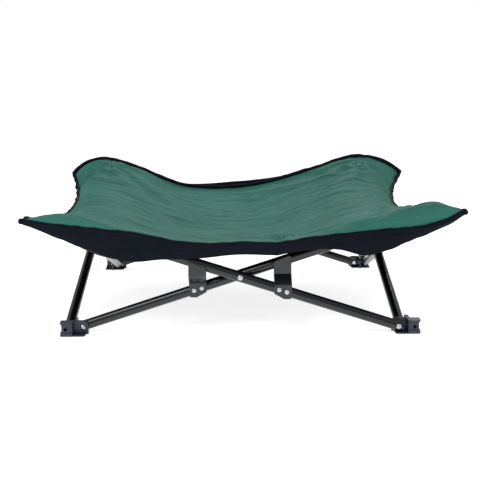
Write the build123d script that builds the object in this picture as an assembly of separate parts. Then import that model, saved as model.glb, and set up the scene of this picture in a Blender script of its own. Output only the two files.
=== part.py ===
from build123d import *
import math
import os

# all lengths in millimetres; origin on the floor under the middle of the cot, +Z up, front towards -Y
foot_pitch = 609.0
half_pitch = foot_pitch / 2
pin_inset = 16.8
pin_z = 12.5
rise = 186.3
top_pin_z = pin_z + rise
pivot_z = pin_z + rise / 2
half_span = half_pitch - pin_inset
tube_angle = math.degrees(math.atan2(rise, 2 * half_span))
tube_length = math.hypot(rise, 2 * half_span)

tube_r = 9.5
tube_wall = 1.2
bore_r = tube_r - tube_wall
plane_offset = 10.0
running = 0.05

rivet_r = 2.5
rivet_head_r = 4.7
rivet_head_t = 2.2
tail_r = 4.0
tail_t = 1.5
pivot_r = 3.0
pivot_head_r = 4.9
washer_r = 8.5
washer_t = 0.9

plug_depth = 26.0
flange_size = 46.0
flange_t = 2.4
hub_height = 25.0
ear_reach = 27.0
outer_ear_t = 6.0
inner_ear_t = 4.6
groove_depth = 2.2
corner_r = 9.0

bracket_w = 32.0
bracket_t = 1.8
bracket_along = 77.0
bracket_bottom = 66.0
bend_low = 92.0
bend_high = 109.0
blind_gap = 14.5
blind_r = 2.2
blind_head_r = 3.9

mat_half_w = 400.0
mat_waist = 350.0
mat_half_d = 328.0
mat_thick = 10.0
sling_t = 1.2
soft_gap = 0.6
binding_w = 0.974
pocket_tip = 0.95
pocket_front = 0.5
pocket_side = 0.12
pocket_sag = 46.0
pocket_lower = 44.0
grid_steps = 12

side_names = ["front", "right", "back", "left"]
corner_names = ["front_left", "front_right", "back_right", "back_left"]
parts = {}


def turned(shape, side):
    """Turn a shape made for the front side or the front left corner to another one."""
    return shape.rotate(Axis.Z, 90 * side)


def rod(start, axis, radius, length):
    """A cylinder from a point along an axis."""
    return Solid.make_cylinder(radius, length, Plane(origin=start, z_dir=axis))


def ring(start, axis, outer, inner, length):
    """A round tube from a point along an axis."""
    return rod(start, axis, outer, length) - rod(start, axis, inner, length)


def domed(start, axis, radius, height):
    """A shallow rivet head standing on a point."""
    plane = Plane(origin=start, z_dir=axis)
    sphere_r = (radius**2 + height**2) / (2 * height)
    centre = plane.from_local_coords(Vector(0, 0, height - sphere_r))
    ball = Solid.make_sphere(sphere_r, Plane(origin=centre), -90, 90, 360)
    return ball & Solid.make_cylinder(radius, height, plane)


def block(u0, u1, v0, v1, w0, w1):
    """A box in the front left corner, from its limits about the foot's centre."""
    size = Solid.make_box(u1 - u0, v1 - v0, w1 - w0)
    return size.translate(Vector(u0 - half_pitch, v0 - half_pitch, w0))


def tube_ends(rising):
    """The two pin points of a front tube, lower end first."""
    low = -half_span if rising else half_span
    return low, -low


def tube_plane_y(rising):
    return -half_pitch + (plane_offset if rising else -plane_offset)


def front_tube(rising):
    """One leg tube in the front side, with its ends rounded about the pins."""
    low, high = tube_ends(rising)
    y = tube_plane_y(rising)
    start = Vector(low, y, pin_z)
    axis = (Vector(high, y, top_pin_z) - start).normalized()
    body = ring(start - axis * tube_r, axis, tube_r, bore_r, tube_length + 2 * tube_r)
    keep = Solid.make_box(tube_length, 2 * tube_r + 2, 2 * tube_r + 2)
    keep = keep.translate(Vector(0, -tube_r - 1, -tube_r - 1))
    tilt = -tube_angle if rising else tube_angle - 180
    keep = keep.rotate(Axis.Y, tilt).translate(start)
    across = Vector(0, 1, 0)
    for x, z in ((low, pin_z), (high, top_pin_z)):
        keep = keep + rod(Vector(x, y - tube_r - 1, z), across, tube_r, 2 * tube_r + 2)
    body = body & keep
    for x, z in ((low, pin_z), (high, top_pin_z)):
        body = body - rod(Vector(x, y - 12, z), across, rivet_r + running, 24)
    return body - rod(Vector(0, y - 12, pivot_z), across, pivot_r + running, 24)


def blind_points(sign):
    """Where the two blind rivets of a bracket sit on the lower tube."""
    slope = math.radians(tube_angle)
    for step in (-0.5, 0.5):
        x = bracket_along + step * blind_gap * math.cos(slope)
        yield Vector(sign * x, 0, pivot_z - x * math.tan(slope))


def drill_for_bracket(tube, rising):
    """The front wall holes for the bracket rivets."""
    y = tube_plane_y(rising)
    sign = -1 if rising else 1
    for point in blind_points(sign):
        start = Vector(point.X, y - tube_r - 1, point.Z)
        tube = tube - rod(start, Vector(0, 1, 0), blind_r + running, 6)
    return tube


def end_plugs(rising):
    """The plastic plugs that fill the two ends of a tube."""
    low, high = tube_ends(rising)
    y = tube_plane_y(rising)
    across = Vector(0, 1, 0)
    plugs = []
    for x, z, other in ((low, pin_z, high), (high, top_pin_z, low)):
        pin = Vector(x, y, z)
        far = Vector(other, y, pin_z + top_pin_z - z)
        axis = (far - pin).normalized()
        core_r = bore_r - running
        body = rod(pin, axis, core_r, plug_depth - tube_r)
        nose = rod(pin - axis * tube_r, axis, core_r, tube_r + 1)
        nose = nose & rod(pin - across * 12, across, tube_r - 0.4, 24)
        plug = (body + nose) - rod(pin - across * 12, across, rivet_r + running, 24)
        plugs.append(plug)
    return plugs


def end_rivets(rising):
    """The two hinge rivets of a front tube: one in the foot, one in the top hub."""
    low, high = tube_ends(rising)
    y = tube_plane_y(rising)
    out = Vector(0, -1, 0)
    back = Vector(0, 1, 0)
    rivets = []
    for x, z in ((low, pin_z), (high, top_pin_z)):
        if rising:
            head_y = -half_pitch - outer_ear_t - running
            tail_y = y + tube_r + running
        else:
            head_y = y - tube_r - running
            tail_y = -half_pitch + inner_ear_t + running
        shaft = rod(Vector(x, head_y - 0.5, z), back, rivet_r, tail_y - head_y + 1)
        head = domed(Vector(x, head_y, z), out, rivet_head_r, rivet_head_t)
        tail = rod(Vector(x, tail_y, z), back, tail_r, tail_t)
        rivets.append(shaft + head + tail)
    return rivets


def pivot_rivet():
    """The rivet through both tubes at the crossing, with domed heads."""
    front = -half_pitch - plane_offset - tube_r - running
    rear = -half_pitch + plane_offset + tube_r + running
    back = Vector(0, 1, 0)
    shaft = rod(Vector(0, front - 0.5, pivot_z), back, pivot_r, rear - front + 1)
    head = domed(Vector(0, front, pivot_z), Vector(0, -1, 0), pivot_head_r, 2.6)
    return shaft + head + domed(Vector(0, rear, pivot_z), back, pivot_head_r, 2.6)


def pivot_washer():
    """The thin spacer between the crossing tubes."""
    start = Vector(0, -half_pitch - washer_t / 2, pivot_z)
    return ring(start, Vector(0, 1, 0), washer_r, pivot_r + running, washer_t)


def ear(u0, u1, v0, v1, along_x):
    """A hub cheek with its free upper corner rounded."""
    plate = block(u0, u1, v0, v1, 0, hub_height)
    tip = Vector(u1 if along_x else u0, v0 if along_x else v1, hub_height)
    tip = tip - Vector(half_pitch, half_pitch, 0)

    def off_corner(edge):
        mid = edge.center()
        gap = abs(mid.X - tip.X) if along_x else abs(mid.Y - tip.Y)
        return gap + abs(mid.Z - tip.Z)

    edge = min(plate.edges(), key=off_corner)
    return plate.fillet(7, [edge])


def round_outer(box, radius):
    """Round a block's upright edge at the corner that faces outwards."""
    upright = box.edges().filter_by(Axis.Z)
    edge = min(upright, key=lambda e: e.center().X + e.center().Y)
    return box.fillet(radius, [edge])


def corner_hub():
    """The corner moulding: flange, spool block and the two cheeks that hold the tube ends."""
    half = flange_size / 2
    flange = block(-half, half, -half, half, 0, flange_t)
    upright = flange.edges().filter_by(Axis.Z)
    flange = flange.fillet(6, upright)
    core = round_outer(block(-half, 0, -half, 0, 0, hub_height), corner_r)
    groove = block(-half - 1, 1, -half - 1, 1, 6, hub_height - 4)
    near = -half + groove_depth
    inner = round_outer(block(near, 1, near, 1, 5, hub_height - 3), corner_r - groove_depth)
    core = core - (groove - inner)
    hub = flange + core
    hub = hub + ear(-1, ear_reach, -outer_ear_t, 0, True)
    hub = hub + ear(0, inner_ear_t, -1, ear_reach, False)
    pin_x = Vector(pin_inset - half_pitch, -40 - half_pitch, pin_z)
    hub = hub - rod(pin_x, Vector(0, 1, 0), rivet_r + running, 60)
    pin_y = Vector(-1 - half_pitch, pin_inset - half_pitch, pin_z)
    hub = hub - rod(pin_y, Vector(1, 0, 0), rivet_r + running, 12)
    for start, axis in ((Vector(-12, -half - 1, pin_z), Vector(0, 1, 0)),
                        (Vector(-half - 1, -12, pin_z), Vector(1, 0, 0))):
        start = start - Vector(half_pitch, half_pitch, 0)
        hub = hub - rod(start, axis, 3.2, 12)
    return hub


def top_hub(foot):
    """The same moulding turned over about the corner's diagonal."""
    centre = Vector(-half_pitch, -half_pitch, (pin_z + top_pin_z) / 2)
    return foot.rotate(Axis(centre, Vector(1, 1, 0)), 180)


def stop_bracket(rising):
    """A bent plate on the lower tube that reaches past the upper tube and stops it."""
    y_low = tube_plane_y(rising) - tube_r - running
    y_high = tube_plane_y(not rising) - tube_r - 1.2
    sign = -1 if rising else 1
    near = bracket_along - bracket_w / 2
    far = bracket_along + bracket_w / 2
    top = 170.0
    centre_line = [(y_low, bracket_bottom), (y_low, bend_low), (y_high, bend_high), (y_high, top)]
    front_line = [(y - bracket_t, z) for y, z in centre_line]
    outline = centre_line + front_line[::-1]
    points = [Vector(sign * near, y, z) for y, z in outline]
    profile = Face(Wire.make_polygon(points, close=True))
    plate = Solid.extrude(profile, Vector(sign * bracket_w, 0, 0))
    slope = math.tan(math.radians(tube_angle))
    lift = -1.0 if rising else 6.0
    inner_top = pivot_z + near * slope + lift
    outer_top = pivot_z + far * slope + lift
    window = [(near, bracket_bottom + 10), (near + 18, bracket_bottom), (far - 3, bracket_bottom)]
    window = window + [(far, bracket_bottom + 3), (far, outer_top - 3), (far - 4, outer_top)]
    window = window + [(near + 3, inner_top + 1), (near, inner_top - 3)]
    cut = [Vector(sign * x, -400, z) for x, z in window]
    cutter = Solid.extrude(Face(Wire.make_polygon(cut, close=True)), Vector(0, 200, 0))
    plate = plate & cutter
    tab_z = pivot_z + near * slope - tube_r / math.cos(math.radians(tube_angle)) - 0.5
    tab_deep = 11.0
    tab = [(near, tab_z - 1.6), (near + 12, tab_z - 1.6 + 12 * slope)]
    tab = tab + [(near + 12, tab_z + 12 * slope), (near, tab_z)]
    base = [Vector(sign * x, y_high - bracket_t, z) for x, z in tab]
    plate = plate + Solid.extrude(Face(Wire.make_polygon(base, close=True)), Vector(0, tab_deep, 0))
    for point in blind_points(sign):
        start = Vector(point.X, y_low - 5, point.Z)
        plate = plate - rod(start, Vector(0, 1, 0), blind_r + running, 8)
    return plate


def blind_rivets(rising):
    """The two blind rivets that hold a bracket to the front wall of its tube."""
    y_head = tube_plane_y(rising) - tube_r - running * 2 - bracket_t
    rivets = []
    for point in blind_points(-1 if rising else 1):
        start = Vector(point.X, y_head, point.Z)
        shaft = rod(start - Vector(0, 0.4, 0), Vector(0, 1, 0), blind_r, bracket_t + tube_wall + 3)
        rivets.append(shaft + domed(start, Vector(0, -1, 0), blind_head_r, 1.6))
    return rivets


def mat_height(s, t):
    """Height of the mat's top face over its own square, both coordinates from -1 to 1."""
    front = 176 + 174.8 * s**2 - 134.8 * s**4
    back = 203 + 239 * s**2 - 216 * s**4
    side = 187 + (34 + 5 * t) * t * t
    share = (t + 1) / 2
    corners = (1 - share) * 216 + share * 226
    sag = 10 * (1 - s * s) * (1 - t * t)
    return (1 - share) * front + share * back + side - corners - sag


def mat_point(s, t, drop):
    x = s * (mat_waist + (mat_half_w - mat_waist) * abs(t) ** 3)
    y = t * (mat_half_d + 8 * abs(s) ** 3)
    return Vector(x, y, mat_height(s, t) - drop)


def spline_face(place):
    """A smooth face through a grid of points; place(i, j) takes shares from 0 to 1."""
    steps = [i / grid_steps for i in range(grid_steps + 1)]
    rows = [[place(a, b) for b in steps] for a in steps]
    return Face.make_surface_from_array_of_points(rows)


def soft_solid(upper, lower):
    """A soft sheet between two smooth faces."""
    top = spline_face(upper)
    bottom = spline_face(lower)
    sides = []
    for edge in top.edges():
        mate = min(bottom.edges(), key=lambda e: (e.center() - edge.center()).length)
        sides.append(Face.make_surface_from_curves(edge, mate))
    return Solid(Shell([top, bottom] + sides))


def mat_sheet(share, drop, thick):
    """The mat over a share of its square, at a depth below the top face."""
    def at(extra):
        def place(a, b):
            return mat_point(share * (2 * a - 1), share * (2 * b - 1), drop + extra)
        return place
    return soft_solid(at(0), at(thick))


def outline_prism(share):
    """A tall block with the mat's outline, shrunk to a share of its square."""
    steps = [-share + 2 * share * i / grid_steps for i in range(grid_steps + 1)]
    sides = [[mat_point(v, -share, 0) for v in steps], [mat_point(share, v, 0) for v in steps]]
    sides = sides + [[mat_point(-v, share, 0) for v in steps], [mat_point(-share, -v, 0) for v in steps]]
    edges = [Edge.make_spline([Vector(p.X, p.Y, 0) for p in side]) for side in sides]
    return Solid.extrude(Face(Wire(edges)), Vector(0, 0, 400))


def band_foot(s):
    """Height of the border's lower edge: it dips where the corner panels join it."""
    share = abs(s)
    dip = 12 * math.exp(-(((share - 0.48) / 0.13) ** 2))
    return 148 - dip + 132 * max(0, share - 0.5) ** 1.2


def border_band(side):
    """The border that hangs from the pad's front or back edge."""
    def at(extra):
        def place(a, b):
            s = -0.96 + 1.92 * a
            rim = mat_point(s, side, mat_thick + sling_t + 2 * soft_gap)
            y = rim.Y + side * (0.5 + extra)
            return Vector(rim.X, y, rim.Z + b * (band_foot(s) - rim.Z))
        return place
    return soft_solid(at(0), at(sling_t))


def corner_pocket():
    """The panel under the front left hub, from the border's foot back to the mat's side edge."""
    def at(extra):
        def place(a, b):
            s = pocket_tip + (pocket_front - pocket_tip) * a
            t = pocket_tip + (pocket_side - pocket_tip) * a
            rim = mat_point(-s, -1, 0)
            near = Vector(rim.X, rim.Y + 2.5, band_foot(s) + 1)
            low = mat_thick + sling_t + 3 * soft_gap + pocket_lower * a**1.5
            far = mat_point(-0.985, -t, low)
            point = near + (far - near) * b
            drop = pocket_sag * math.sin(math.pi * b) * a**1.6
            return Vector(point.X, point.Y, point.Z - drop - extra - 1)
        return place
    return soft_solid(at(0), at(sling_t))


def add(name, shapes):
    parts[name] = shapes if isinstance(shapes, list) else [shapes]


def build_side(side):
    """The crossed pair of tubes of one side with its hardware."""
    name = side_names[side]
    for rising, kind in ((True, "inner"), (False, "outer")):
        tube = front_tube(rising)
        if side in (0, 2):
            tube = drill_for_bracket(tube, rising)
            bracket = f"stop_bracket_{name}_{kind}"
            add(bracket, turned(stop_bracket(rising), side))
            rivets = [turned(r, side) for r in blind_rivets(rising)]
            add(f"bracket_rivets_{name}_{kind}", rivets)
        add(f"tube_{name}_{kind}", turned(tube, side))
        add(f"end_plugs_{name}_{kind}", [turned(p, side) for p in end_plugs(rising)])
        add(f"hinge_rivets_{name}_{kind}", [turned(r, side) for r in end_rivets(rising)])
    add(f"pivot_rivet_{name}", turned(pivot_rivet(), side))
    add(f"pivot_washer_{name}", turned(pivot_washer(), side))


def build_corner(side, foot, hub):
    name = corner_names[side]
    add(f"foot_{name}", turned(foot, side))
    add(f"top_hub_{name}", turned(hub, side))


def build_pockets():
    """The four corner panels: the front left one and its mirror images."""
    pocket = corner_pocket()
    right = pocket.mirror(Plane.YZ)
    add("corner_pocket_front_left", pocket)
    add("corner_pocket_front_right", right)
    add("corner_pocket_back_left", pocket.mirror(Plane.XZ))
    add("corner_pocket_back_right", right.mirror(Plane.XZ))


def build_mat():
    whole = mat_sheet(1, 0, mat_thick)
    add("pad", whole & outline_prism(binding_w))
    add("edge_binding", whole - outline_prism(binding_w + 0.0005))
    add("sling_cloth", mat_sheet(0.99, mat_thick + soft_gap, sling_t))
    add("border_band_front", border_band(-1))
    add("border_band_back", border_band(1))


foot_moulding = corner_hub()
hub_moulding = top_hub(foot_moulding)
for side_index in range(4):
    build_side(side_index)
    build_corner(side_index, foot_moulding, hub_moulding)
build_mat()
build_pockets()

os.makedirs("parts", exist_ok=True)
for node, solids in parts.items():
    shape = solids[0] if len(solids) == 1 else Compound(children=solids)
    export_step(shape, f"parts/{node}.step")
    print(node, len(solids), all(s.is_valid for s in solids))
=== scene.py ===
import bpy
import bmesh
import math
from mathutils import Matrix, Quaternion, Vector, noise


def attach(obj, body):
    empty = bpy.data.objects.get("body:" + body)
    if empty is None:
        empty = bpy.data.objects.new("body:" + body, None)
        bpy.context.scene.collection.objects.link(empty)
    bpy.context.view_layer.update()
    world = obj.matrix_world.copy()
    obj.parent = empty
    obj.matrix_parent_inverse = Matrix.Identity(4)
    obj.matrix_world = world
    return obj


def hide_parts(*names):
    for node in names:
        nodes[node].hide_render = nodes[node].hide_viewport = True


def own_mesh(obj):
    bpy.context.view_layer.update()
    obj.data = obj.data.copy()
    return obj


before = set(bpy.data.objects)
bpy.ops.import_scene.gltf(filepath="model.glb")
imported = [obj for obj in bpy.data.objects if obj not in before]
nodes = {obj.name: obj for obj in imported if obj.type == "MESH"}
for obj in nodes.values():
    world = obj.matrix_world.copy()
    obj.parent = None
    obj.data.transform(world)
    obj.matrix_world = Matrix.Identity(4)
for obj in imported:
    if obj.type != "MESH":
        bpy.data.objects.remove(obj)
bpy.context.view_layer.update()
print("frame loaded", len(nodes), "nodes")

# metres, degrees and watts; a light is its place, its power and its size
studio = {
    "lens": 67.9, "place": (-0.0155, -1.914, 0.443), "pitch": -9.587, "turn": 0.557, "roll": -0.356,
    "lights": {
        "keyLight": ((-0.9, -1.6, 2.0), 27.0, (1.6, 1.2)),
        "fillLight": ((1.9, -1.2, 1.2), 7.0, (1.4, 1.4)),
        "topLight": ((0.3, 1.6, 1.3), 18.0, (1.4, 0.7)),
        "rimLight": ((-1.9, 0.6, 0.8), 6.0, (0.8, 1.4)),
    },
    "aimAt": (0, 0, 0.15), "sky": 0.38, "floorHalf": 12, "floorDrop": 0.0005, "floorTone": 0.86,
    "floorGlow": 0.80,
}


def areaLight(name, place, power, size):
    lamp = bpy.data.lights.new(name, "AREA")
    lamp.shape = "RECTANGLE"
    lamp.size = size[0]
    lamp.size_y = size[1]
    lamp.energy = power
    obj = bpy.data.objects.new(name, lamp)
    obj.location = place
    bpy.context.scene.collection.objects.link(obj)
    obj.rotation_euler = (Vector(studio["aimAt"]) - obj.location).to_track_quat("-Z", "Y").to_euler()


def setCamera():
    cam = bpy.data.cameras.new("camera")
    cam.lens = studio["lens"]
    cam.sensor_width = 36.0
    cam.clip_end = 30.0
    camObj = bpy.data.objects.new("camera", cam)
    camObj.location = studio["place"]
    turn = math.radians(studio["turn"])
    pitch = math.radians(studio["pitch"])
    look = Vector((math.sin(turn) * math.cos(pitch), math.cos(turn) * math.cos(pitch), math.sin(pitch)))
    camObj.rotation_mode = "QUATERNION"
    roll = Quaternion((0, 0, 1), math.radians(studio["roll"]))
    camObj.rotation_quaternion = look.to_track_quat("-Z", "Y") @ roll
    bpy.context.scene.collection.objects.link(camObj)
    bpy.context.scene.camera = camObj


def setSky():
    # plain white to the camera, dimmer as a light
    world = bpy.data.worlds.new("studioSky")
    world.use_nodes = True
    sky = world.node_tree.nodes["Background"]
    sky.inputs["Color"].default_value = (1, 1, 1, 1)
    paths = world.node_tree.nodes.new("ShaderNodeLightPath")
    strength = world.node_tree.nodes.new("ShaderNodeMapRange")
    strength.inputs["To Min"].default_value = studio["sky"]
    strength.inputs["To Max"].default_value = 1.0
    world.node_tree.links.new(paths.outputs["Is Camera Ray"], strength.inputs["Value"])
    world.node_tree.links.new(strength.outputs["Result"], sky.inputs["Strength"])
    bpy.context.scene.world = world
    bpy.context.scene.view_settings.view_transform = "Standard"


def setFloor():
    bm = bmesh.new()
    bmesh.ops.create_grid(bm, x_segments=1, y_segments=1, size=studio["floorHalf"])
    mesh = bpy.data.meshes.new("floor")
    bm.to_mesh(mesh)
    bm.free()
    floor = bpy.data.objects.new("floor", mesh)
    floor.location = (0, 0, -studio["floorDrop"])
    bpy.context.scene.collection.objects.link(floor)
    mat = bpy.data.materials.new("floorPaint")
    mat.use_nodes = True
    shade = mat.node_tree.nodes["Principled BSDF"]
    tone = studio["floorTone"]
    shade.inputs["Base Color"].default_value = (tone, tone, tone, 1)
    shade.inputs["Roughness"].default_value = 0.9
    shade.inputs["Specular IOR Level"].default_value = 0.1
    shade.inputs["Emission Color"].default_value = (1, 1, 1, 1)
    shade.inputs["Emission Strength"].default_value = studio["floorGlow"]
    mesh.materials.append(mat)


setCamera()
for lightName, settings in studio["lights"].items():
    areaLight(lightName, *settings)
setSky()
setFloor()
print("studio set")


# shared shader groups
def newGroup(name, inputs, outputs):
    group = bpy.data.node_groups.new(name, "ShaderNodeTree")
    for label, kind, value in inputs:
        sock = group.interface.new_socket(name=label, in_out="INPUT", socket_type=kind)
        sock.default_value = value
    for label, kind in outputs:
        group.interface.new_socket(name=label, in_out="OUTPUT", socket_type=kind)
    enter = group.nodes.new("NodeGroupInput")
    leave = group.nodes.new("NodeGroupOutput")
    return group, enter, leave


def mathNode(tree, operation, a, b=None):
    node = tree.nodes.new("ShaderNodeMath")
    node.operation = operation
    for slotIndex, value in enumerate((a, b)):
        if value is None:
            continue
        if isinstance(value, (int, float)):
            node.inputs[slotIndex].default_value = value
        else:
            tree.links.new(value, node.inputs[slotIndex])
    return node.outputs[0]


def rampNode(tree, source, low, high):
    node = tree.nodes.new("ShaderNodeMapRange")
    tree.links.new(source, node.inputs["Value"])
    node.inputs["From Min"].default_value = low
    node.inputs["From Max"].default_value = high
    return node.outputs["Result"]


def noiseNode(tree, vector, scale, detail=3.0, rough=0.5):
    node = tree.nodes.new("ShaderNodeTexNoise")
    tree.links.new(vector, node.inputs["Vector"])
    if isinstance(scale, (int, float)):
        node.inputs["Scale"].default_value = scale
    else:
        tree.links.new(scale, node.inputs["Scale"])
    node.inputs["Detail"].default_value = detail
    node.inputs["Roughness"].default_value = rough
    return node.outputs["Fac"]


def mixColour(tree, share, a, b):
    node = tree.nodes.new("ShaderNodeMix")
    node.data_type = "RGBA"
    tree.links.new(share, node.inputs[0])
    for slotIndex, value in ((6, a), (7, b)):
        if hasattr(value, "is_output"):
            tree.links.new(value, node.inputs[slotIndex])
        else:
            node.inputs[slotIndex].default_value = value
    return node.outputs[2]


def weaveGroup():
    # crossed threads: a height for the bump and a mask of the thread tops
    group, enter, leave = newGroup(
        "threadWeave",
        [("Vector", "NodeSocketVector", (0, 0, 0)), ("Threads", "NodeSocketFloat", 1400.0),
         ("Unevenness", "NodeSocketFloat", 0.35)],
        [("Height", "NodeSocketFloat"), ("Tops", "NodeSocketFloat")])
    t = group
    split = t.nodes.new("ShaderNodeSeparateXYZ")
    t.links.new(enter.outputs["Vector"], split.inputs[0])
    waves = []
    for axis in (0, 1):
        turns = mathNode(t, "MULTIPLY", split.outputs[axis], enter.outputs["Threads"])
        waves.append(mathNode(t, "SINE", turns))
    over = mathNode(t, "MULTIPLY", waves[0], waves[1])
    sumOf = mathNode(t, "ADD", mathNode(t, "ABSOLUTE", waves[0]), mathNode(t, "ABSOLUTE", waves[1]))
    woven = mathNode(t, "ADD", mathNode(t, "MULTIPLY", over, 0.5), mathNode(t, "MULTIPLY", sumOf, 0.35))
    grain = noiseNode(t, enter.outputs["Vector"], 420.0, 2.0)
    uneven = mathNode(t, "MULTIPLY", grain, enter.outputs["Unevenness"])
    height = mathNode(t, "ADD", woven, uneven)
    t.links.new(height, leave.inputs["Height"])
    t.links.new(rampNode(t, height, 0.0, 0.9), leave.inputs["Tops"])
    return group


def toneGroup():
    # slow, soft change of tone over a surface, with a little dust in it
    group, enter, leave = newGroup(
        "softTone",
        [("Vector", "NodeSocketVector", (0, 0, 0)), ("Scale", "NodeSocketFloat", 6.0)],
        [("Tone", "NodeSocketFloat"), ("Speck", "NodeSocketFloat")])
    t = group
    broad = noiseNode(t, enter.outputs["Vector"], enter.outputs["Scale"], 4.0, 0.55)
    t.links.new(rampNode(t, broad, 0.3, 0.7), leave.inputs["Tone"])
    fine = noiseNode(t, enter.outputs["Vector"], 260.0, 3.0, 0.6)
    t.links.new(rampNode(t, fine, 0.62, 0.8), leave.inputs["Speck"])
    return group


def creaseGroup():
    # fine creases that mostly run one way, as on cloth that was packed folded
    group, enter, leave = newGroup(
        "packCreases",
        [("Vector", "NodeSocketVector", (0, 0, 0)), ("Along", "NodeSocketFloat", 9.0),
         ("Across", "NodeSocketFloat", 60.0)],
        [("Height", "NodeSocketFloat")])
    t = group
    split = t.nodes.new("ShaderNodeSeparateXYZ")
    t.links.new(enter.outputs["Vector"], split.inputs[0])
    join = t.nodes.new("ShaderNodeCombineXYZ")
    t.links.new(mathNode(t, "MULTIPLY", split.outputs[0], enter.outputs["Along"]), join.inputs[0])
    t.links.new(mathNode(t, "MULTIPLY", split.outputs[1], enter.outputs["Across"]), join.inputs[1])
    field = noiseNode(t, join.outputs[0], 1.0, 4.0, 0.6)
    ridge = mathNode(t, "ABSOLUTE", mathNode(t, "SUBTRACT", field, 0.5))
    t.links.new(rampNode(t, ridge, 0.0, 0.12), leave.inputs["Height"])
    return group


weave = weaveGroup()
tone = toneGroup()
creases = creaseGroup()


def newMaterial(name):
    mat = bpy.data.materials.new(name)
    mat.use_nodes = True
    tree = mat.node_tree
    shade = tree.nodes["Principled BSDF"]
    coords = tree.nodes.new("ShaderNodeTexCoord")
    return mat, tree, shade, coords.outputs["Object"]


def useGroup(tree, group, vector, **values):
    node = tree.nodes.new("ShaderNodeGroup")
    node.node_tree = group
    tree.links.new(vector, node.inputs["Vector"])
    for key, value in values.items():
        node.inputs[key].default_value = value
    return node


def bumpInto(tree, shade, height, distance, strength=1.0, before=None):
    node = tree.nodes.new("ShaderNodeBump")
    node.inputs["Strength"].default_value = strength
    node.inputs["Distance"].default_value = distance
    tree.links.new(height, node.inputs["Height"])
    if before is not None:
        tree.links.new(before, node.inputs["Normal"])
    if shade is not None:
        tree.links.new(node.outputs["Normal"], shade.inputs["Normal"])
    return node.outputs["Normal"]


clothLook = {
    "padDeep": (0.034, 0.160, 0.124, 1), "padLight": (0.066, 0.250, 0.204, 1), "padRough": 0.7,
    "blackDeep": (0.0022, 0.0036, 0.0078, 1), "blackLight": (0.006, 0.0088, 0.0165, 1), "blackRough": 0.7,
}


def clothMaterial(name, deep, light, rough, threads, creaseDepth, sheen):
    mat, tree, shade, where = newMaterial(name)
    slow = useGroup(tree, tone, where, Scale=7.0)
    threadsNode = useGroup(tree, weave, where, Threads=threads)
    base = mixColour(tree, slow.outputs["Tone"], deep, light)
    shadow = tuple(0.62 * c for c in deep[:3]) + (1,)
    shown = mixColour(tree, threadsNode.outputs["Tops"], shadow, base)
    tree.links.new(shown, shade.inputs["Base Color"])
    shade.inputs["Roughness"].default_value = rough
    shade.inputs["Sheen Weight"].default_value = sheen
    shade.inputs["Sheen Roughness"].default_value = 0.5
    shade.inputs["Specular IOR Level"].default_value = 0.08
    creaseNode = useGroup(tree, creases, where)
    first = bumpInto(tree, None, creaseNode.outputs["Height"], creaseDepth, 0.5)
    bumpInto(tree, shade, threadsNode.outputs["Height"], 0.00022, 0.6, first)
    return mat


metalLook = {
    "coat": (0.0020, 0.0030, 0.0056, 1), "coatLight": (0.0040, 0.0058, 0.0098, 1), "coatRough": 0.22,
    "mould": (0.0085, 0.0155, 0.0280, 1), "mouldLight": (0.016, 0.027, 0.046, 1), "mouldRough": 0.38,
    "zinc": (0.62, 0.66, 0.70, 1), "zincDull": (0.42, 0.45, 0.48, 1), "zincRough": 0.3,
}


def hardMaterial(name, deep, light, rough, metallic, grain, depth, coat):
    mat, tree, shade, where = newMaterial(name)
    slow = useGroup(tree, tone, where, Scale=18.0)
    tree.links.new(mixColour(tree, slow.outputs["Tone"], deep, light), shade.inputs["Base Color"])
    shade.inputs["Metallic"].default_value = metallic
    wear = mathNode(tree, "ADD", mathNode(tree, "MULTIPLY", slow.outputs["Speck"], 0.12), rough)
    tree.links.new(wear, shade.inputs["Roughness"])
    shade.inputs["Coat Weight"].default_value = coat
    shade.inputs["Coat Roughness"].default_value = 0.12
    peel = noiseNode(tree, where, grain, 2.0, 0.5)
    bumpInto(tree, shade, peel, depth, 0.5)
    return mat


padCloth = clothMaterial("padCloth", clothLook["padDeep"], clothLook["padLight"], clothLook["padRough"],
                         2600.0, 0.0030, 0.02)
blackCloth = clothMaterial("blackOxford", clothLook["blackDeep"], clothLook["blackLight"],
                           clothLook["blackRough"], 2300.0, 0.0008, 0.01)
tapeCloth = clothMaterial("bindingTape", clothLook["blackDeep"], clothLook["blackLight"], 0.7, 3600.0,
                          0.0004, 0.01)
powderCoat = hardMaterial("powderCoat", metalLook["coat"], metalLook["coatLight"], metalLook["coatRough"],
                          0.0, 900.0, 0.00006, 0.10)
mouldedBlack = hardMaterial("mouldedBlack", metalLook["mould"], metalLook["mouldLight"],
                            metalLook["mouldRough"], 0.0, 1500.0, 0.00008, 0.0)
zincPlate = hardMaterial("zincPlate", metalLook["zincDull"], metalLook["zinc"], metalLook["zincRough"],
                         1.0, 700.0, 0.00003, 0.0)
nylon = hardMaterial("nylonWasher", metalLook["mould"], metalLook["mouldLight"], 0.5, 0.0, 1200.0,
                     0.00003, 0.0)
print("materials made")

hardParts = {"tube_": powderCoat, "stop_bracket": powderCoat, "end_plugs": mouldedBlack,
             "foot_": mouldedBlack, "top_hub": mouldedBlack, "hinge_rivets": zincPlate,
             "bracket_rivets": zincPlate, "pivot_rivet": zincPlate, "pivot_washer": nylon}
for nodeName, obj in nodes.items():
    for start, mat in hardParts.items():
        if nodeName.startswith(start):
            obj.data.materials.clear()
            obj.data.materials.append(mat)

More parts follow.
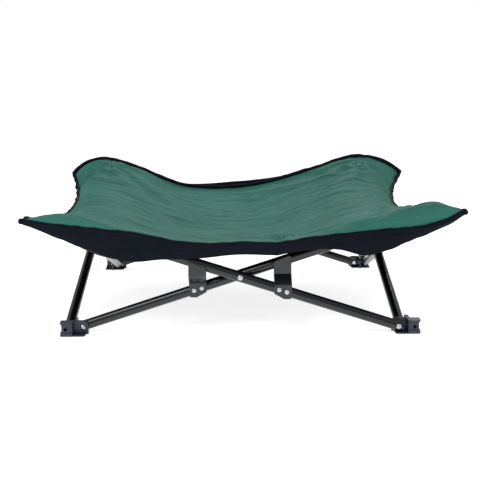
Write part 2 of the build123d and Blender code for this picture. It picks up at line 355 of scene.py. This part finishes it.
# the mat
matShape = {
    "wideLeft": 0.388, "wideRight": 0.401, "waistLeft": 0.360, "waistRight": 0.345, "backWide": 0.404,
    "halfDeep": 0.329, "thick": 0.0135,
    "edgeThick": 0.005, "steps": 180, "sag": 0.012, "keep": 0.15, "bindWide": 0.0085, "bindThick": 0.0050,
    "sideMid": 0.185,
    # heights across the width: the crest behind the front rim, the front rim and the back rim
    "crest": [(-1, 0.220), (-0.9, 0.222), (-0.78, 0.224), (-0.5, 0.200), (-0.2, 0.176), (0, 0.175),
              (0.2, 0.177), (0.45, 0.199), (0.76, 0.230), (0.88, 0.240), (0.95, 0.238), (1, 0.231)],
    "rim": [(-1, 0.216), (-0.9, 0.208), (-0.7, 0.199), (-0.46, 0.187), (-0.2, 0.169), (0, 0.171),
            (0.18, 0.169), (0.32, 0.179), (0.66, 0.192), (0.82, 0.199), (0.93, 0.211), (1, 0.228)],
    "back": [(-1, 0.232), (-0.93, 0.257), (-0.82, 0.268), (-0.62, 0.248), (-0.46, 0.220), (-0.3, 0.202),
             (0, 0.200), (0.19, 0.211), (0.4, 0.233), (0.5, 0.243), (0.62, 0.263), (0.75, 0.271),
             (0.87, 0.263), (0.95, 0.247), (1, 0.230)],
}
# the corner mouldings' distance from the middle
cornerOut = 0.3045
profileMemo = {}


def profile(points, x):
    # a smooth curve through a few heights, each place worked out once
    key = (id(points), x)
    if key not in profileMemo:
        profileMemo[key] = curveAt(points, x)
    return profileMemo[key]


def curveAt(points, x):
    if x <= points[0][0]:
        return points[0][1]
    for i in range(len(points) - 1):
        x0, y0 = points[i]
        x1, y1 = points[i + 1]
        if x <= x1:
            before = points[i - 1] if i else points[0]
            after = points[min(i + 2, len(points) - 1)]
            m0 = (y1 - before[1]) / (x1 - before[0])
            m1 = (after[1] - y0) / (after[0] - x0)
            h = x1 - x0
            u = (x - x0) / h
            return ((2 * u**3 - 3 * u**2 + 1) * y0 + (u**3 - 2 * u**2 + u) * h * m0
                    + (3 * u**2 - 2 * u**3) * y1 + (u**3 - u**2) * h * m1)
    return points[-1][1]


def edgeHeights(s, t):
    # a surface through the four edges, before the cloth sags; s and t run from -1 to 1
    crest = matShape["crest"]
    back = matShape["back"]
    v = (t + 1) / 2
    u = (s + 1) / 2
    front = profile(crest, s)
    rear = profile(back, s)
    sides = []
    for end in (-1, 1):
        tip = profile(crest, end) if t < 0 else profile(back, end)
        sides.append(matShape["sideMid"] + (tip - matShape["sideMid"]) * abs(t) ** 2.2)
    blend = ((1 - u) * ((1 - v) * profile(crest, -1) + v * profile(back, -1))
             + u * ((1 - v) * profile(crest, 1) + v * profile(back, 1)))
    return (1 - v) * front + v * rear + (1 - u) * sides[0] + u * sides[1] - blend


wrinkleShape = {
    "swell": 0.0075, "ripple": 0.0034, "fine": 0.0010, "fold": 0.0024,
    # pulls round each corner moulding: height, distance from it, spread and number
    "pull": 0.0034, "pullAt": 0.10, "pullWide": 0.085, "pullCount": 9,
    # one deep tuck behind the front rim with a ridge beside it
    "tuckX": 0.072, "tuckBend": 0.010, "tuckY": -0.20, "tuckLong": 0.12,
    "tuckDeep": 0.0110, "tuckWide": 0.0065, "ridgeHigh": 0.0080, "ridgeOff": 0.015, "ridgeWide": 0.0085,
}


def wrinkle(x, y):
    # soft pulls: broad swells, folds that run to the corners, and small creases along the width
    w = wrinkleShape
    swell = w["swell"] * noise.noise(Vector((x * 5.2, y * 5.6, 1.3)))
    ripple = w["ripple"] * noise.noise(Vector((x * 8.0, y * 36.0 + x * 5.0, 4.1)))
    fine = w["fine"] * noise.noise(Vector((x * 24.0, y * 80.0 - x * 9.0, 9.4)))
    ridge = 1 - abs(noise.noise(Vector((x * 5.0 + y * 2.0, y * 19.0 + x * 3.0, 12.0)))) * 5
    fold = w["fold"] * max(0.0, ridge)
    folds = 0.0
    for sx in (-1, 1):
        for sy in (-1, 1):
            dx = x - sx * cornerOut
            dy = y - sy * cornerOut
            r = math.hypot(dx, dy)
            ang = math.atan2(dy, dx)
            fall = math.exp(-((r - w["pullAt"]) / w["pullWide"]) ** 2)
            shift = 3.0 * noise.noise(Vector((x * 8, y * 8, 2.0)))
            folds += w["pull"] * fall * math.sin(ang * w["pullCount"] + shift)
    tuckX = x - w["tuckX"] - w["tuckBend"] * math.sin((y + 0.30) * 20)
    tuckFade = math.exp(-((y - w["tuckY"]) / w["tuckLong"]) ** 2)
    tuck = -w["tuckDeep"] * math.exp(-(tuckX / w["tuckWide"]) ** 2) * tuckFade
    tuck += w["ridgeHigh"] * math.exp(-((tuckX - w["ridgeOff"]) / w["ridgeWide"]) ** 2) * tuckFade
    return swell + ripple + fine + fold + folds + tuck


def matPlace(s, t, face):
    # face 1 is the top, -1 the underside
    waist = matShape["waistLeft"] if s < 0 else matShape["waistRight"]
    wide = matShape["backWide"] if t > 0 else matShape["wideLeft" if s < 0 else "wideRight"]
    x = s * (waist + (wide - waist) * abs(t) ** 2.6)
    hubPush = 0.005 * math.exp(-((abs(s) - 0.78) / 0.16) ** 2)
    y = t * (matShape["halfDeep"] + 0.004 * abs(s) ** 3 + hubPush)
    z = edgeHeights(s, t) - matShape["sag"] * (1 - s * s) * (1 - t * t)
    rolled = max(0.0, (abs(t) - 0.93) / 0.07)
    rolled = 1 - math.sqrt(max(0.0, 1 - rolled * rolled))
    if t < 0:
        z -= rolled * (profile(matShape["crest"], s) - profile(matShape["rim"], s))
    else:
        z += rolled * 0.005
    sideRoll = max(0.0, (abs(s) - 0.94) / 0.06) ** 2
    pucker = noise.noise(Vector((s * 3.0, t * 15.0, 3.3))) + 0.6 * noise.noise(Vector((s, t * 34.0, 8.3)))
    x += math.copysign(0.0052 * pucker * sideRoll, s)
    z += 0.004 * noise.noise(Vector((s * 2.0, t * 17.0, 5.9))) * sideRoll
    inset = min(1 - abs(s), 1 - abs(t))
    puff = min(1.0, inset / 0.10)
    puff = math.sin(puff * math.pi / 2)
    edgeT = matShape["edgeThick"]
    bulk = edgeT + (matShape["thick"] - edgeT) * puff
    mid = z - 0.0052
    soft = wrinkle(x, y) * (0.30 + 0.70 * puff)
    if face > 0:
        return Vector((x, y, mid + bulk / 2 + soft))
    return Vector((x, y, mid - bulk / 2 + soft * 0.6))


def surfaceNormal(s, t, face):
    h = 0.004
    a = matPlace(min(1, s + h), t, face) - matPlace(max(-1, s - h), t, face)
    b = matPlace(s, min(1, t + h), face) - matPlace(s, max(-1, t - h), face)
    n = a.cross(b).normalized()
    return n if face > 0 else -n


def meshObject(name, bm, mats):
    mesh = bpy.data.meshes.new(name)
    bm.to_mesh(mesh)
    bm.free()
    for m in mats:
        mesh.materials.append(m)
    obj = bpy.data.objects.new(name, mesh)
    bpy.context.scene.collection.objects.link(obj)
    return obj


gores = {
    "Front": {"body": "leg_left_inner", "axis": (1, 0, 0), "side": (0, -1)},
    "Left": {"body": "leg_front_outer", "axis": (0, 1, 0), "side": (-1, 0)},
    "Right": {"body": "leg_front_inner", "axis": (0, 1, 0), "side": (1, 0)},
    "Back": {"body": "leg_left_outer", "axis": (1, 0, 0), "side": (0, 1)},
}


def inGore(side, s, t):
    along = s * side[0] + t * side[1]
    across = abs(s * side[1]) + abs(t * side[0])
    return along > across


def followFold(obj, gore):
    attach(obj, gore["body"])
    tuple(gore["axis"])
    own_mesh(obj)


def buildGore(name, gore):
    bm = bmesh.new()
    steps = matShape["steps"]
    bmesh.ops.create_grid(bm, x_segments=steps, y_segments=steps, size=1)
    for normal in ((1, 1, 0), (1, -1, 0)):
        everything = list(bm.verts) + list(bm.edges) + list(bm.faces)
        bmesh.ops.bisect_plane(bm, geom=everything, plane_co=(0, 0, 0), plane_no=normal, dist=1e-6)
    drop = [f for f in bm.faces if not inGore(gore["side"], *f.calc_center_median()[:2])]
    bmesh.ops.delete(bm, geom=drop, context="FACES")
    lower = list(bm.faces)
    bmesh.ops.reverse_faces(bm, faces=lower)
    lifted = bmesh.ops.extrude_face_region(bm, geom=lower, use_keep_orig=True)["geom"]
    top = set(v for v in lifted if isinstance(v, bmesh.types.BMVert))
    topFaces = [f for f in lifted if isinstance(f, bmesh.types.BMFace)]
    for f in topFaces:
        f.normal_flip()
    flat = {}
    uv = bm.loops.layers.uv.new("cloth")
    for v in bm.verts:
        flat[v] = (v.co.x, v.co.y, 1 if v in top else -1)
    for f in bm.faces:
        for loop in f.loops:
            s, t, side = flat[loop.vert]
            loop[uv].uv = (s * 0.38, t * 0.33)
    sheets = set(topFaces) | set(lower)
    for v, (s, t, face) in flat.items():
        v.co = matPlace(s, t, face)
    bm.normal_update()
    bm.faces.ensure_lookup_table()
    loopNormals = []
    cache = {}
    for f in bm.faces:
        for loop in f.loops:
            if f in sheets:
                key = flat[loop.vert]
                if key not in cache:
                    cache[key] = surfaceNormal(*key)
                loopNormals.append(cache[key])
            else:
                loopNormals.append(f.normal.copy())
        f.smooth = f in sheets
        f.material_index = 0
    for f in lower:
        f.material_index = 1
    obj = meshObject("pad" + name, bm, [padCloth, blackCloth])
    obj.data.normals_split_custom_set(loopNormals)
    followFold(obj, gore)
    return obj


padPieces = {name: buildGore(name, gore) for name, gore in gores.items()}
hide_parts("pad", "sling_cloth")
print("pad made")


def gridPiece(name, nAlong, nAcross, place, mats, thickness=0.0, loopAcross=False):
    # a grid laid out by place(a, b), with a and b from 0 to 1
    bm = bmesh.new()
    bmesh.ops.create_grid(bm, x_segments=nAlong, y_segments=nAcross, size=0.5)
    uv = bm.loops.layers.uv.new("cloth")
    flat = {v: (v.co.x + 0.5, v.co.y + 0.5) for v in bm.verts}
    for f in bm.faces:
        f.smooth = True
        for loop in f.loops:
            a, b = flat[loop.vert]
            loop[uv].uv = (a * 0.7, b * 0.05)
    for v, (a, b) in flat.items():
        v.co = place(a, b)
    if loopAcross:
        bmesh.ops.remove_doubles(bm, verts=bm.verts, dist=1e-6)
        ends = [e for e in bm.edges if e.is_boundary]
        bmesh.ops.holes_fill(bm, edges=ends, sides=0)
    if thickness:
        bmesh.ops.solidify(bm, geom=list(bm.faces), thickness=thickness)
    bmesh.ops.recalc_face_normals(bm, faces=bm.faces)
    for f in bm.faces:
        f.smooth = True
    return meshObject(name, bm, mats)


def edgePoint(side, a, depth=0.0):
    # a point on the mat's rim; a runs 0 to 1 along that side, depth is how far inside the rim
    v = -1 + 2 * a
    reach = 1 - depth
    s = side[0] * reach if side[0] else v * (1 if side[1] < 0 else -1)
    t = side[1] * reach if side[1] else v * (1 if side[0] > 0 else -1)
    s = max(-1.0, min(1.0, s))
    t = max(-1.0, min(1.0, t))
    return (matPlace(s, t, 1) + matPlace(s, t, -1)) / 2


def buildBinding(name, gore):
    side = gore["side"]
    wide = matShape["bindWide"]
    thick = matShape["bindThick"]

    def place(a, b):
        here = edgePoint(side, a)
        inner = edgePoint(side, a, 0.03)
        ahead = edgePoint(side, min(1, a + 0.004)) - edgePoint(side, max(0, a - 0.004))
        inward = inner - here
        ahead.normalize()
        inward = (inward - ahead * inward.dot(ahead)).normalized()
        up = ahead.cross(inward).normalized()
        if up.z < 0:
            up = -up
        here = here + up * (0.0035 if side == (0, 1) else 0.0012)
        ang = b * 2 * math.pi
        wave = 1 + 0.22 * noise.noise(here * 38.0)
        du = math.cos(ang)
        dv = math.sin(ang)
        squareU = math.copysign(abs(du) ** 0.7, du) * wide * 0.55 * wave
        squareV = math.copysign(abs(dv) ** 0.8, dv) * thick * wave
        pull = 0.0012 * noise.noise(here * 55.0 + Vector((3, 1, 7)))
        return here + inward * (squareU + wide * 0.30) + up * (squareV + pull)

    obj = gridPiece("binding" + name, 260, 14, place, [tapeCloth], loopAcross=True)
    followFold(obj, gore)
    return obj


bindings = {name: buildBinding(name, gore) for name, gore in gores.items()}
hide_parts("edge_binding")
print("binding made")

bandShape = {
    "thick": 0.0014, "cutFront": (0.86, 0.054), "cutBack": (0.88, 0.106),
    "areaFront": 0.0205, "areaBack": 0.0452,
    # how far it falls below the rim, across the width
    "front": [(-1, 0.003), (-0.94, 0.007), (-0.84, 0.017), (-0.7, 0.033), (-0.58, 0.045), (-0.48, 0.046),
              (-0.36, 0.034), (-0.24, 0.024), (-0.1, 0.019), (0.14, 0.017), (0.28, 0.016), (0.44, 0.022),
              (0.56, 0.037), (0.66, 0.032), (0.76, 0.018), (0.86, 0.009), (1, 0.003)],
    "back": [(-1, 0.004), (-0.94, 0.030), (-0.84, 0.085), (-0.72, 0.098), (-0.58, 0.078), (-0.48, 0.054),
             (-0.36, 0.034), (-0.1, 0.020), (0.14, 0.018), (0.36, 0.034), (0.48, 0.054), (0.58, 0.076),
             (0.72, 0.098), (0.84, 0.085), (0.94, 0.030), (1, 0.004)],
}


def bandPoint(side, v, b):
    # v from -1 to 1 along the side, b from the rim down; the back one falls further to cover the hubs
    rim = edgePoint(side, (v + 1) / 2)
    fall = profile(bandShape["front" if side[1] < 0 else "back"], v)
    tuck = side[1] * (0.0022 - 0.006 * b * b)
    wave = 0.0016 * noise.noise(Vector((rim.x * 16, b * 2.0, 5.0))) * b
    stand = 0.012 * math.exp(-(v / 0.30) ** 2) * (1 - b) if side[1] > 0 else 0.0
    return Vector((rim.x, rim.y + tuck + wave, rim.z + 0.001 + stand - b * fall))


def buildBand(name, gore):
    side = gore["side"]

    def place(a, b):
        return bandPoint(side, -0.985 + 1.97 * a, b)

    obj = gridPiece("borderBand" + name, 220, 14, place, [blackCloth], thickness=bandShape["thick"])
    followFold(obj, gore)
    return obj


bands = {name: buildBand(name, gores[name]) for name in ("Front", "Back")}
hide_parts("border_band_front")
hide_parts("border_band_back")

pocketShape = {"tip": 0.97, "reach": 0.50, "sideReach": 0.12, "sag": 0.025, "lower": 0.013, "thick": 0.0013,
               # every half is cut alike, as a triangle
               "cut": (0.243, 0.125), "area": 0.0152,
               "FrontLeft": "front_left", "FrontRight": "front_right", "BackLeft": "back_left",
               "BackRight": "back_right"}


def buildPocket(name, sx, sy, half, gore):
    # from the band's lower edge, under the hub, to the mat's side edge; some side tubes cut through it
    # half 0 belongs to the front or back of the mat, half 1 to its side, and each folds with it
    ends = pocketShape
    frontSide = (0, sy)

    def bandFoot(a):
        v = (ends["tip"] + (ends["reach"] - ends["tip"]) * a) * sx * (1 if sy < 0 else -1)
        return bandPoint(frontSide, v, 0.93)

    def sideFoot(a):
        t = (ends["tip"] + (ends["sideReach"] - ends["tip"]) * a) * sy
        edge = (matPlace(sx * 0.985, t, 1) + matPlace(sx * 0.985, t, -1)) / 2
        return edge + Vector((0, 0, -0.0045 - ends["lower"] * a**1.5))

    def place(a, c):
        b = (half + c) / 2
        p = bandFoot(a).lerp(sideFoot(a), b)
        drop = ends["sag"] * math.sin(math.pi * b) * a**1.6
        wave = 0.0022 * noise.noise(Vector((p.x * 18, p.y * 18, 6.0))) * math.sin(math.pi * b)
        return Vector((p.x, p.y + (-sy) * 0.001, p.z - drop + wave))

    obj = gridPiece("pocket" + name + ("Edge", "Side")[half], 60, 30, place, [blackCloth],
                    thickness=ends["thick"])
    followFold(obj, gore)
    return obj


corners = {"FrontLeft": (-1, -1), "FrontRight": (1, -1), "BackLeft": (-1, 1), "BackRight": (1, 1)}
for name, (sx, sy) in corners.items():
    edgeGore = gores["Front" if sy < 0 else "Back"]
    sideGore = gores["Left" if sx < 0 else "Right"]
    edgeHalf = buildPocket(name, sx, sy, 0, edgeGore)
    buildPocket(name, sx, sy, 1, sideGore)
    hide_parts("corner_pocket_" + pocketShape[name])
print("bands and pockets made")
